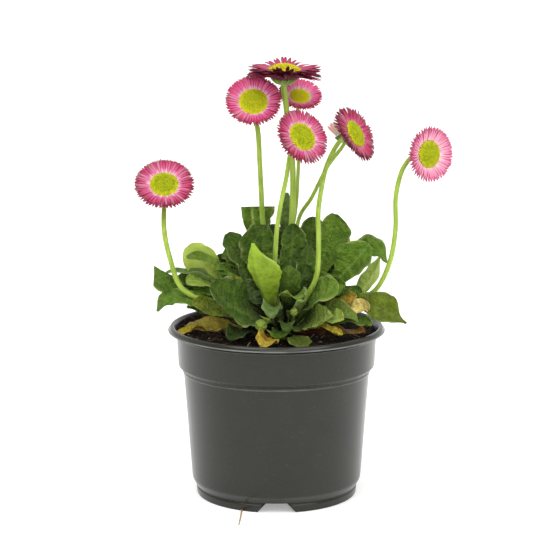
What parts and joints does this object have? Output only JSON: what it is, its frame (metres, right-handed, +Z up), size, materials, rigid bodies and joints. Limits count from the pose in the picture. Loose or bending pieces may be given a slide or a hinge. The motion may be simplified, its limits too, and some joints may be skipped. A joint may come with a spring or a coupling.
{
  "type": "potted daisy",
  "caption": "Flowering double daisy in a round nursery pot: pink rayed blooms on bare stalks above a rosette of spoon-shaped leaves, resting on the foot ring of the pot.",
  "frame": {"origin": "middle of the underside of the whole plant and pot", "axes": "+Z up along the pot axis, +X to the right in the picture, +Y away from the camera"},
  "size_m": [0.1522, 0.1114, 0.2129],
  "materials": {
    "pot": "satin moulded charcoal plastic",
    "peat": "loose dark peat with light specks",
    "crown": "matt green crown with low leaves",
    "root_strand": "dry tan root strand",
    "leaf": "green leaf, slightly waxy",
    "leaf_dark": "dark green leaf, slightly waxy",
    "leaf_grey": "grey green underside of a leaf",
    "leaf_light": "light yellow green underside of a leaf",
    "leaf_olive": "olive leaf that starts to yellow",
    "leaf_withered": "withered yellow and brown leaf",
    "stalk": "light yellow green stalk with fine hairs",
    "rays_pink": "pink rays with darker tips and a pale ring",
    "rays_pale": "pale pink rays",
    "rays_crimson": "crimson rays",
    "disc": "yellow green disc of fine florets"
  },
  "bodies": {
    "root": {"pot": "pot", "soil": "peat", "crown": "crown", "root_strand": "root_strand", "bloom_left_stalk": "stalk", "bloom_left_rays": "rays_pink", "bloom_left_disc": "disc", "bloom_upper_left_stalk": "stalk", "bloom_upper_left_rays": "rays_pink", "bloom_upper_left_disc": "disc", "bloom_upper_right_stalk": "stalk", "bloom_upper_right_rays": "rays_pink", "bloom_upper_right_disc": "disc", "bloom_middle_stalk": "stalk", "bloom_middle_rays": "rays_pink", "bloom_middle_disc": "disc", "bloom_top_stalk": "stalk", "bloom_top_rays": "rays_crimson", "bloom_top_disc": "disc", "bloom_right_stalk": "stalk", "bloom_right_rays": "rays_pink", "bloom_right_disc": "disc", "bloom_far_right_stalk": "stalk", "bloom_far_right_rays": "rays_pale", "bloom_far_right_disc": "disc", "bud_stalk": "stalk", "bud_rays": "rays_pale", "leaf_left_far": "leaf", "leaf_left_drooping": "leaf", "leaf_left_spoon": "leaf_light", "leaf_left_level": "leaf_grey", "leaf_left_olive": "leaf_olive", "leaf_front_left_broad": "leaf_dark", "leaf_withered_left": "leaf_withered", "leaf_front_left_low": "leaf_dark", "leaf_front_light": "leaf_light", "leaf_front_curled": "leaf_grey", "leaf_front_left_small": "leaf_grey", "leaf_back_left_toothed": "leaf_dark", "leaf_back_left_broad": "leaf_dark", "leaf_back_tall": "leaf", "leaf_back_narrow": "leaf_grey", "leaf_middle_tall": "leaf_dark", "leaf_middle_right": "leaf_dark", "leaf_front_middle": "leaf_dark", "leaf_back_right_small": "leaf_dark", "leaf_back_right_broad": "leaf", "leaf_right_spoon": "leaf", "leaf_right_folded": "leaf", "leaf_right_upright": "leaf_grey", "leaf_right_low": "leaf_olive", "leaf_withered_right": "leaf_withered", "leaf_front_right_upper": "leaf", "leaf_front_right_broad": "leaf_dark", "leaf_front_right_low": "leaf_dark", "leaf_front_right_edged": "leaf_grey", "leaf_front_olive": "leaf_olive", "leaf_withered_front": "leaf_withered"}
  },
  "joints": []
}
